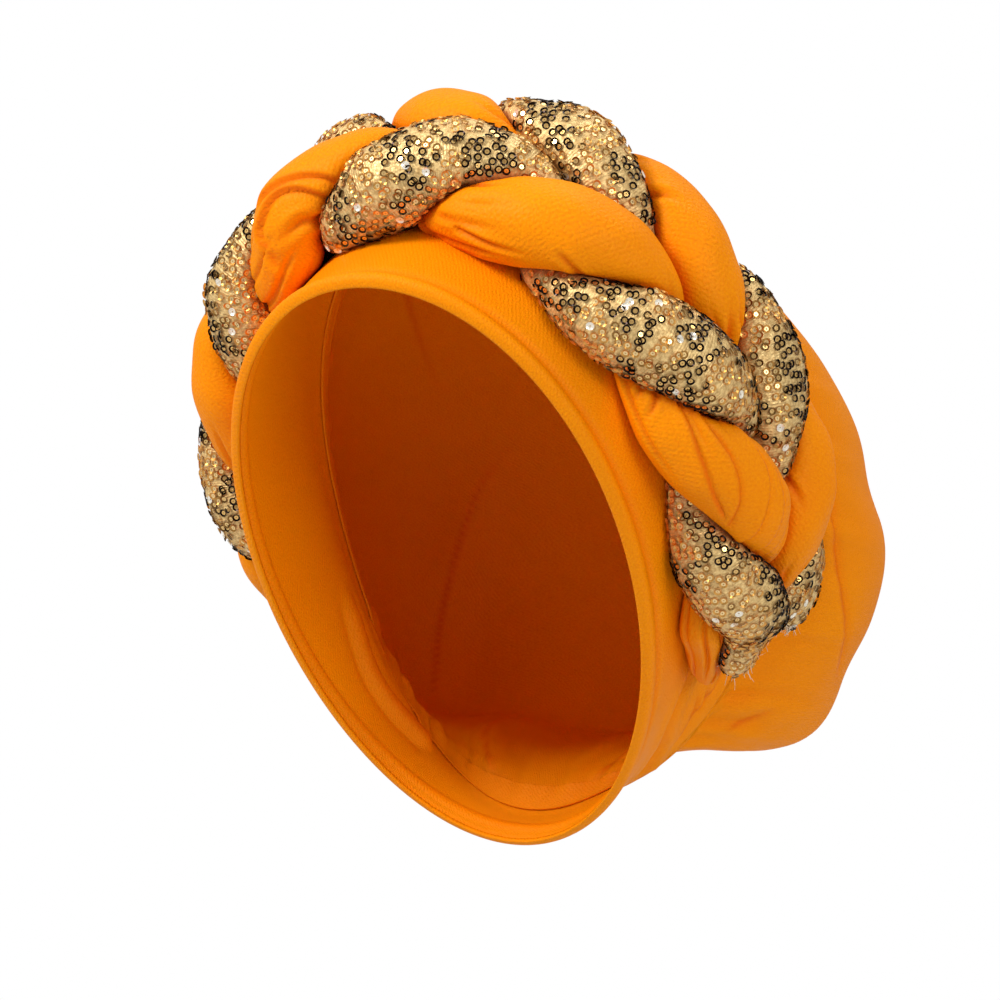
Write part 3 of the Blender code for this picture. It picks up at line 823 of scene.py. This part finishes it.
band_up, crown_up = grid_normals(band_outer), grid_normals(crown_outer)
tape_rows = [ring_at(band_outer, band_up, number, BAND_THICKNESS, BAND_SIDES) for number in (-7, -5, -3)]
tape_rows += [ring_at(crown_outer, crown_up, number, CROWN_THICKNESS, BAND_SIDES) for number in (3, 4, 5)]
tape = np.array(tape_rows)
even_out(tape, 2)
tape = finer(tape, 3, False)
tape_inner = tape - grid_normals(tape) * TAPE_THICKNESS
tape_points = np.concatenate([tape_inner[::-1], tape])
# an even painted shade over the whole seam tape
tape_painted_shade = np.full(tape_points.shape[:2], 0.3)
seam_tape = grid_piece("seam_tape", tape_points, cloth_lengths(closed(tape_points)), tape_painted_shade, False)

# %% [markdown]
# ## Sequins
# A cup sequin is a disc of foil a little over 3 mm across, with a hole for its stitch and a rim pressed up
# round a flat middle. One is modelled by hand from a circle: its edge is extruded inwards twice, which makes
# the sloping rim and then the flat middle round the hole. The cloth is covered by copying its points, turned
# and tilted a little, in one array for each strand, because thousands of objects would be slow.

# %% One sequin, by hand
SEQUIN_SIDES = 12
SEQUIN_RADIUS = 1.6 * MM
FLAT_RADIUS = 0.9 * MM
HOLE_RADIUS = 0.3 * MM
RIM_HEIGHT = 0.42 * MM

bpy.ops.object.select_all(action="DESELECT")
bpy.ops.mesh.primitive_circle_add(vertices=SEQUIN_SIDES, radius=SEQUIN_RADIUS, location=(0, 0, 0))
template = bpy.context.object
bpy.ops.object.mode_set(mode="EDIT")
bpy.ops.mesh.select_all(action="SELECT")
bpy.ops.transform.translate(value=(0, 0, RIM_HEIGHT))
bpy.ops.mesh.extrude_region_move(TRANSFORM_OT_translate={"value": (0, 0, -RIM_HEIGHT)})
bpy.ops.transform.resize(value=(FLAT_RADIUS / SEQUIN_RADIUS,) * 2 + (1,))
bpy.ops.mesh.extrude_region_move(TRANSFORM_OT_translate={"value": (0, 0, 0)})
bpy.ops.transform.resize(value=(HOLE_RADIUS / FLAT_RADIUS,) * 2 + (1,))
bpy.ops.mesh.select_all(action="SELECT")
bpy.ops.mesh.normals_make_consistent(inside=True)
bpy.ops.object.mode_set(mode="OBJECT")
sequin_points = np.array([vertex.co for vertex in template.data.vertices]) / MM
# Extrude gives its new faces in another order each run, so they are sorted
sequin_faces = np.array(sorted(tuple(face.vertices) for face in template.data.polygons))
on_rim = np.array([sequin_points[face, 2].max() > 0.1 for face in sequin_faces])
bpy.data.objects.remove(template)
print(f"one sequin: {len(sequin_points)} points, {len(sequin_faces)} faces, {on_rim.sum()} on the rim")

# %% Sequins over the gold cloth
# In millimetres: between rows, between sequins of a row, room that one needs, height above the cloth
ROW_SPACING = 3.15
SEQUIN_SPACING = 3.35
LEAST_ROOM = 0.9
LIFT = 0.3
# Shares of the sequins that are lost and that are painted nearly white as glints, their tilt in radians, and
# how
# far they stray: along the row as a share of the spacing, and across it in rows of the cloth's grid
MISSING_SHARE = 0.04
GLINT_SHARE = 0.022
TILT = 0.16
SIDE_JITTER = 0.3
ROW_JITTER = 1.1


def even_places(points, draw):
    """Places spread evenly over a grid's cloth, as rows and sides that may lie between its points."""
    lengths = lengths_to(points)
    places = []
    for number, at in enumerate(np.arange(2.5, lengths[-1] - 1.5, ROW_SPACING)):
        row = np.interp(at, lengths, np.arange(len(lengths)))
        round_it = lengths_to(closed(points[int(row)]))
        count = max(int(round_it[-1] / SEQUIN_SPACING), 3)
        moved = draw.uniform(-SIDE_JITTER, SIDE_JITTER, count)
        spots = (np.arange(count) + 0.5 * (number % 2) + moved) / count * round_it[-1]
        sides = np.interp(spots % round_it[-1], round_it, np.arange(len(round_it)))
        rows = np.clip(row + draw.uniform(-ROW_JITTER, ROW_JITTER, count), 0, len(points) - 1.001)
        places.append(np.stack([rows, sides], axis=1))
    return np.concatenate(places)


def sequin_piece(name, points, room, draw):
    """One mesh with a sequin at every place on the cloth that has the room for it."""
    normals = grid_normals(points)
    places = even_places(points, draw)
    places = places[(read_grid(room, places) > LEAST_ROOM) & (draw.random(len(places)) > MISSING_SHARE)]
    spots, up = read_grid(points, places), unit(read_grid(normals, places))
    up = unit(up + draw.normal(0, TILT, up.shape))
    along = unit(np.cross(up, unit(draw.normal(0, 1, up.shape))))
    across = np.cross(up, along)
    turned = np.stack([along, across, up], axis=1)
    spots = spots + up * LIFT
    corners = spots[:, None] + np.einsum("pk,nkc->npc", sequin_points, turned)
    count, size = corners.shape[:2]
    faces = (sequin_faces[None] + size * np.arange(count)[:, None, None]).reshape(-1, 4)
    # painted reflection: sequins in patches get a tone from dark to pale, with a little random tone of their
    # own
    reflection_patches = np.array([
        noise.noise(Vector(spot) * 0.05) + 0.6 * noise.noise(Vector(spot) * 0.13) for spot in spots])
    reflection_tone = np.clip(0.36 + 2.4 * reflection_patches + draw.normal(0, 0.25, count), 0, 1)
    # painted glints: a few sequins are painted nearly white all over
    glint = (draw.random(count) < GLINT_SHARE).astype(float)
    piece = new_piece(name, corners, faces.tolist())
    keep_values(piece, "rim", "FACE", np.tile(on_rim, count))
    keep_values(piece, "reflection_tone", "FACE", reflection_tone.repeat(len(sequin_faces)))
    keep_values(piece, "glint", "FACE", glint.repeat(len(sequin_faces)))
    print(f"{name}: {count} sequins, {2 * len(faces)} triangles")
    return piece


sequins = {}
for number, name in enumerate(("gold_strand_front", "gold_strand_rear")):
    strand = strands[name]
    draw = np.random.default_rng(11 + number)
    sequins[name] = sequin_piece(name + "_sequins", strand["points"], strand["room"], draw)

# %% [markdown]
# ## Frayed ends
# The gold cloth is cut straight across at its ends and not hemmed, so its ground comes apart there into short
# pale threads. Each thread is a thin three-sided tube that bends a little, and all of one strand's threads
# are one mesh.

# %% Loose threads at the gold cloth's cut ends
# Tries at each end, then the radius in millimetres, rings along a thread, angles of its three corners in
# radians, and the least distance from the band that its tip keeps
THREAD_COUNT = 150
THREAD_RADIUS = 0.2
THREAD_STEPS = 5
THREAD_ANGLES = (0.0, 2.1, 4.2)
THREAD_CLEARANCE = 0.6


def thread_piece(name, points, draw):
    """Short bent threads round both ends of a strand."""
    corners, faces = [], []
    for end, inner in ((3, 9), (len(points) - 4, len(points) - 10)):
        ahead = unit(points[end].mean(axis=0) - points[inner].mean(axis=0))
        normals = grid_normals(points)[end]
        for _ in range(THREAD_COUNT):
            side = draw.integers(points.shape[1])
            start = points[end, side] - ahead * draw.uniform(0, 2.5)
            lean = ahead * draw.uniform(0.5, 1.2) + normals[side] * draw.uniform(-0.1, 0.7)
            lean = unit(lean + draw.normal(0, 0.4, 3))
            bend = draw.normal(0, 0.35, 3)
            length = draw.uniform(2.0, 6.0)
            tip = start + (lean + bend) * length
            spot, normal, _, _ = ground.find_nearest(Vector(tip))
            if (Vector(tip) - spot).dot(normal) < THREAD_CLEARANCE:
                continue
            first = unit(np.cross(lean, normals[side] + 0.01))
            second = np.cross(lean, first)
            base = len(corners)
            for step in np.linspace(0, 1, THREAD_STEPS):
                middle = start + lean * length * step + bend * length * step * step
                radius = THREAD_RADIUS * (1 - 0.6 * step)
                corners += [
                    middle + radius * (math.cos(a) * first + math.sin(a) * second) for a in THREAD_ANGLES]
            for step in range(THREAD_STEPS - 1):
                low = base + 3 * step
                faces += [(low + k, low + (k + 1) % 3, low + 3 + (k + 1) % 3, low + 3 + k) for k in range(3)]
            last = base + 3 * (THREAD_STEPS - 1)
            faces += [(base + 2, base + 1, base), (last, last + 1, last + 2)]
    piece = new_piece(name, np.array(corners), faces)
    print(f"{name}: {len(corners) // (3 * THREAD_STEPS)} threads, {len(faces)} faces")
    return piece


threads = {}
for number, name in enumerate(sequins):
    draw = np.random.default_rng(31 + number)
    threads[name] = thread_piece(name + "_threads", strands[name]["points"], draw)

# %% [markdown]
# ## Finishes
# A finish is a small tree of shader nodes, and most of it is sums: this colour where the cloth is deep, that
# one where it is open, a little of a pattern on top. The class below lets such sums be written as Python. A
# shaded value can be added, scaled, raised to a power or taken from 1, and each of those adds the Math node
# that does it.

# %% Shader values as numbers
class Shade:
    """A socket of a finish that takes part in sums."""

    def __init__(self, finish, socket):
        self.finish, self.socket = finish, socket

    def worked(self, operation, first, second):
        return self.finish.node("ShaderNodeMath", {"operation": operation}, {0: first, 1: second})

    def __add__(self, other):
        return self.worked("ADD", self, other)

    def __mul__(self, other):
        return self.worked("MULTIPLY", self, other)

    def __sub__(self, other):
        return self.worked("SUBTRACT", self, other)

    def __rsub__(self, other):
        return self.worked("SUBTRACT", other, self)

    def __pow__(self, other):
        return self.worked("POWER", self, other)

    __radd__, __rmul__ = __add__, __mul__


print("sums of shaded values can now be written as Python")


# %% Node trees and materials in the making
class NodeWork:
    """A tree of shader nodes, with one method for any node."""

    def __init__(self, tree):
        self.tree = tree

    def set(self, node, values):
        for name, value in values.items():
            socket = node.inputs[name]
            if isinstance(value, Shade):
                self.tree.links.new(value.socket, socket)
            elif socket.type == "RGBA":
                socket.default_value = (*value, 1)
            else:
                socket.default_value = value

    def node(self, kind, settings, values, output=0):
        made = self.tree.nodes.new(kind)
        for name, value in settings.items():
            setattr(made, name, value)
        self.set(made, values)
        return Shade(self, made.outputs[output])

    def mix(self, share, first, second):
        """The first colour where the share is 0, and the second where it is 1."""
        return self.node("ShaderNodeMix", {"data_type": "RGBA"}, {0: share, 6: first, 7: second}, output=2)

    def attribute(self, name):
        return self.node("ShaderNodeAttribute", {"attribute_name": name}, {}, output="Fac")

    def cloth_map(self):
        return self.node("ShaderNodeUVMap", {"uv_map": "cloth"}, {})

    def object_space(self):
        return self.node("ShaderNodeTexCoord", {}, {}, output="Object")

    def grain(self, place, scale, detail=2.0):
        return self.node("ShaderNodeTexNoise", {}, {"Vector": place, "Scale": scale, "Detail": detail})


class Finish(NodeWork):
    """A material in the making."""

    def __init__(self, name, settings):
        self.material = bpy.data.materials.new(name)
        self.material.use_nodes = True
        super().__init__(self.material.node_tree)
        self.shader = self.tree.nodes["Principled BSDF"]
        self.set(self.shader, settings)

    def bump(self, height, distance, strength):
        values = {"Height": height, "Distance": distance, "Strength": strength}
        self.set(self.shader, {"Normal": self.node("ShaderNodeBump", {}, values)})

    def put_on(self, *pieces):
        for piece in pieces:
            piece.data.materials.clear()
            piece.data.materials.append(self.material)


print("and so can finishes")

# %% [markdown]
# ## Orange satin
# The satin is a fine twill: diagonal ribs a millimetre and a half apart under a crepe grain a millimetre
# wide. Its colour is painted deeper, from orange towards red, where a fold is deep and where strands press
# together: painted shade, standing in for the light that bounces from cloth to cloth there. The twill reads
# the cloth's own UV map, so it runs with each piece. The broad unevenness reads the object's space.

# %% Orange satin
OPEN_ORANGE = (0.96, 0.27, 0.0)
BRIGHT_ORANGE = (1.0, 0.33, 0.0)
# The deep orange is both the painted shade of creases and the darker threads of the weave
SHADE_AND_WEAVE_ORANGE = (0.76, 0.08, 0.0)
CLOUD_SCALE = 22.0
TWILL_SCALE = 300.0
CREPE_SCALE = 1100.0

satin = Finish("orange satin", {
    "Sheen Weight": 0.06, "Sheen Roughness": 0.3, "Sheen Tint": (1.0, 0.4, 0.0), "Specular IOR Level": 0.08})
cloth_uv = satin.cloth_map()
# the painted shade kept on the cloth's points
deep = satin.attribute("painted_shade")
cloudy = satin.grain(satin.object_space(), CLOUD_SCALE)
twill = satin.node("ShaderNodeTexWave", {"bands_direction": "DIAGONAL"}, {
    "Vector": cloth_uv, "Scale": TWILL_SCALE, "Distortion": 1.2, "Detail": 1.0, "Detail Scale": 1.5})
crepe = satin.grain(cloth_uv, CREPE_SCALE) * 2.6 - 0.9
ground_colour = satin.mix(cloudy, OPEN_ORANGE, BRIGHT_ORANGE)
# painted shade: towards a deeper, redder orange in creases and where strands press together
cloth_colour = satin.mix(deep ** 1.3 * 0.58, ground_colour, SHADE_AND_WEAVE_ORANGE)
satin.set(satin.shader, {
    "Base Color": satin.mix((1 - twill) * 0.03 + crepe * 0.26, cloth_colour, SHADE_AND_WEAVE_ORANGE),
    "Roughness": 0.46 + 0.1 * crepe,
})
satin.bump(twill * 0.4 + crepe, 0.0002, 0.8)
satin.put_on(band, crown, seam_tape)
satin.put_on(*(strands[name]["piece"] for name in strands if name.startswith("orange")))
print("orange satin:", len(satin.tree.nodes), "nodes")

# %% [markdown]
# ## Gold cloth and sequins
# The gold cloth under the sequins is a fine knit with metal thread, darkened as painted shade in its creases
# and where strands press together. The sequins are foil: their steep rims are painted anything from tan to
# nearly black, in patches, and their flat middles from tan to pale gold, as painted reflections of dark and
# bright surroundings. A few are painted nearly white all over, as painted glints. Each sequin carries its own
# tone of painted reflection, and each of its faces whether it is on the rim, as attributes.

# %% Gold knit
KNIT_DARK, KNIT_BRIGHT, KNIT_PAINTED_SHADE = (0.38, 0.17, 0.025), (1.0, 0.71, 0.30), (0.42, 0.15, 0.015)
LOOP_SCALE = 1100.0
RIB_SCALE = 330.0
KNIT_TONE_SCALE = 800.0

gold_knit = Finish("gold knit", {"Metallic": 0.42})
knit_uv = gold_knit.cloth_map()
loops = gold_knit.node("ShaderNodeTexVoronoi", {}, {"Vector": knit_uv, "Scale": LOOP_SCALE})
ribs = gold_knit.node("ShaderNodeTexWave", {"bands_direction": "X"}, {
    "Vector": knit_uv, "Scale": RIB_SCALE, "Distortion": 2.0})
knit_tone = gold_knit.grain(knit_uv, KNIT_TONE_SCALE, 3.0)
knit_colour = gold_knit.mix(knit_tone ** 1.4 * 1.9, KNIT_DARK, KNIT_BRIGHT)
# painted shade: the knit darkens to a deep brown in creases and where strands press together
gold_knit.set(gold_knit.shader, {
    "Base Color": gold_knit.mix(gold_knit.attribute("painted_shade") * 0.6, knit_colour, KNIT_PAINTED_SHADE),
    "Roughness": 0.34 + 0.3 * loops,
})
gold_knit.bump(loops * 0.7 + ribs * 0.3, 0.0004, 0.9)
print("gold knit:", len(gold_knit.tree.nodes), "nodes")

# %% Foil
RIM_DARK_REFLECTION, RIM_TAN = (0.010, 0.003, 0.001), (0.76, 0.38, 0.09)
MIDDLE_TAN, MIDDLE_PALE = (0.84, 0.52, 0.17), (1.0, 0.75, 0.36)
GLINT_WHITE = (1.0, 0.93, 0.78)

foil = Finish("gold foil", {})
rim, reflection_tone, glint = (foil.attribute(name) for name in ("rim", "reflection_tone", "glint"))
# painted reflection: rims from nearly black to tan, and middles from tan to pale gold, by each sequin's tone
rim_colour = foil.mix(reflection_tone, RIM_DARK_REFLECTION, RIM_TAN)
middle_colour = foil.mix(reflection_tone, MIDDLE_TAN, MIDDLE_PALE)
# painted glints: the glinting sequins take a near-white colour and less metal
foil.set(foil.shader, {
    "Base Color": foil.mix(glint, foil.mix(rim, middle_colour, rim_colour), GLINT_WHITE),
    "Metallic": 0.82 - 0.3 * glint,
    "Roughness": 0.20 + 0.14 * reflection_tone,
})
print("foil:", len(foil.tree.nodes), "nodes")

# %% Loose thread
THREAD_TAN, THREAD_PALE = (0.62, 0.40, 0.20), (0.98, 0.90, 0.76)
THREAD_TONE_SCALE = 400.0

loose = Finish("pale thread", {"Roughness": 0.75, "Sheen Weight": 0.3})
thread_tone = loose.grain(loose.object_space(), THREAD_TONE_SCALE)
loose.set(loose.shader, {"Base Color": loose.mix(thread_tone, THREAD_TAN, THREAD_PALE)})
for name in sequins:
    gold_knit.put_on(strands[name]["piece"])
    foil.put_on(sequins[name])
    loose.put_on(threads[name])
print("gold knit, foil and thread are on", ", ".join(sequins))

# %% [markdown]
# ## What each piece stands for
# Every piece rides on the hat's one body. A cloth piece takes the place of the solid under it. The crown was
# cut as a round 440 mm across, and the band as a strip 660 by 130 mm with curved edges, whose area is what is
# left of the strip.

# %% Rides and stand-ins
for name, strand in strands.items():
    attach(strand["piece"], "root")
    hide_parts(name)
for piece, node in ((band, "front_band"), (crown, "crown_pouch")):
    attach(piece, "root")
    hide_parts(node)
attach(seam_tape, "root")
for piece in (*sequins.values(), *threads.values()):
    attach(piece, "root")
print("pieces:", len(strands) + 3 + len(sequins) + len(threads))

# %% [markdown]
# ## Floor and light
# The hat is lit as for a catalogue, on white. The floor and the world look white to the camera only: to the
# hat, the world is brighter above and behind than below and in front, so that the foil has something dark to
# reflect. A soft lamp stands high on the left in front, and two weaker ones lift the right side and the top
# of the crown.

# %% Floor
FLOOR_HEIGHT = -0.62

bpy.ops.mesh.primitive_plane_add(size=60, location=(0, 0, FLOOR_HEIGHT))
floor = bpy.context.object
floor.name = "floor"
paper = Finish("white paper", {"Roughness": 0.9, "Base Color": (0.6, 0.6, 0.6)})
seen = paper.node("ShaderNodeLightPath", {}, {}, output="Is Camera Ray")
white = paper.node("ShaderNodeEmission", {}, {"Color": (1.0, 1.0, 1.0), "Strength": 1.0})
dull = Shade(paper, paper.shader.outputs[0])
both = paper.node("ShaderNodeMixShader", {}, {0: seen, 1: dull, 2: white})
paper.tree.links.new(both.socket, paper.tree.nodes["Material Output"].inputs["Surface"])
paper.put_on(floor)
print("the floor is", -FLOOR_HEIGHT, "m below the origin")

# %% World
world = bpy.data.worlds.new("studio")
bpy.context.scene.world = world
world.use_nodes = True
studio = NodeWork(world.node_tree)
direction = studio.node("ShaderNodeTexCoord", {}, {}, output="Generated")
behind, above = (
    studio.node("ShaderNodeSeparateXYZ", {}, {"Vector": direction}, output=axis) for axis in "YZ")
lit = 0.37 + 0.10 * behind + 0.24 * above
camera_ray = studio.node("ShaderNodeLightPath", {}, {}, output="Is Camera Ray")
background = studio.tree.nodes["Background"]
studio.set(background, {"Color": (1.0, 1.0, 1.0), "Strength": camera_ray * (1 - lit) + lit})
print("world:", len(studio.tree.nodes), "nodes")

# %% Lamps
LIT_PLACE = Vector((0.0, 0.08, -0.14))


def softbox(name, place, size, power):
    bpy.ops.object.light_add(type="AREA", location=place)
    light = bpy.context.object
    light.name = name
    light.data.size = size
    light.data.energy = power
    light.rotation_euler = (LIT_PLACE - Vector(place)).to_track_quat("-Z", "Y").to_euler()


softbox("key", (-1.0, -1.15, 1.35), 0.6, 36)
softbox("fill", (1.5, -0.8, 0.5), 0.7, 11)
softbox("top", (0.2, 0.9, 1.5), 0.8, 8)
bpy.context.scene.view_settings.view_transform = "Standard"
print("three lamps and a white floor")
